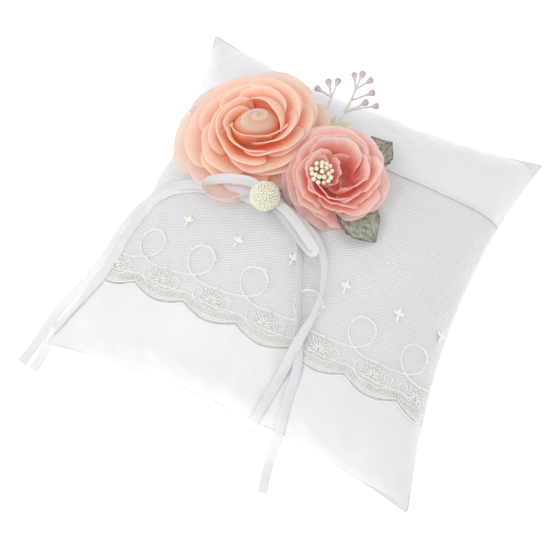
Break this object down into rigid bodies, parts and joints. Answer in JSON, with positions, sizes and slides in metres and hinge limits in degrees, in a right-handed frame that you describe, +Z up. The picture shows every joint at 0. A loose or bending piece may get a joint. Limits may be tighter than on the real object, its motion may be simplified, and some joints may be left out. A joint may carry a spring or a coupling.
{
  "type": "ring bearer pillow",
  "caption": "Square satin ring bearer pillow with a lace-edged net overlay, fabric roses, leaves, a beaded ball and a ribbon bow whose tails tie the rings.",
  "frame": {"origin": "centre of the pillow's resting underside, on the table", "axes": "+Z up through the front; +Y towards the flower end; +X to the right along the top edge, seen from the front"},
  "size_m": [0.216, 0.2216, 0.0826],
  "materials": {
    "satin": "white satin, soft sheen",
    "fibre": "loose polyester wadding",
    "thread": "sewing thread",
    "net": "sheer ivory net",
    "hem_tape": "turned double hem of net",
    "lace": "machine embroidery on net",
    "felt": "matt felt",
    "peach_deep": "heat-curled satin, deep peach",
    "peach": "heat-curled sheer satin, peach",
    "coral": "gauzy chiffon, coral",
    "stamen_thread": "stiffened thread",
    "stamen_head": "cream moulded head",
    "leaf": "mottled grey-green printed cloth",
    "wire": "paper-covered florist's wire",
    "stem": "pale green soft plastic",
    "bud": "dusty mauve soft plastic",
    "foliage": "pale yellow-green soft plastic",
    "ribbon": "narrow white satin ribbon",
    "ball_core": "cream foam ball",
    "bead": "pearly cream seed beads"
  },
  "bodies": {
    "root": {"satin_front_panel": "satin", "satin_back_panel": "satin", "fibre_filling": "fibre", "closing_stitches": "thread", "tulle_overlay": "net", "overlay_hem_tape": "hem_tape", "lace_scallop_border": "lace", "lace_loop_motifs": "lace", "lace_tassel_motifs": "lace", "net_sprigs": "lace", "large_rose_felt": "felt", "large_rose_bud_core": "peach_deep", "large_rose_bud_petals": "peach_deep", "large_rose_inner_petals": "peach", "large_rose_middle_petals": "peach", "large_rose_outer_petals": "peach", "large_rose_base_petals": "peach", "small_rose_felt": "felt", "small_rose_heart_petals": "coral", "small_rose_inner_petals": "coral", "small_rose_middle_petals": "coral", "small_rose_outer_petals": "coral", "stamen_threads": "stamen_thread", "stamen_heads": "stamen_head", "leaf_upper": "leaf", "leaf_lower": "leaf", "leaf_wires": "wire", "sprig_stem": "stem", "sprig_branches": "stem", "sprig_buds": "bud", "sprig_foliage": "foliage", "ribbon_knot": "ribbon", "bow_loop_left": "ribbon", "bow_loop_right": "ribbon", "bow_tacking_stitch": "thread", "bead_ball_core": "ball_core", "bead_ball_beads": "bead", "tail_left_outer": "ribbon", "tail_left_inner": "ribbon", "tail_right_long": "ribbon", "tail_right_short": "ribbon"}
  },
  "joints": []
}
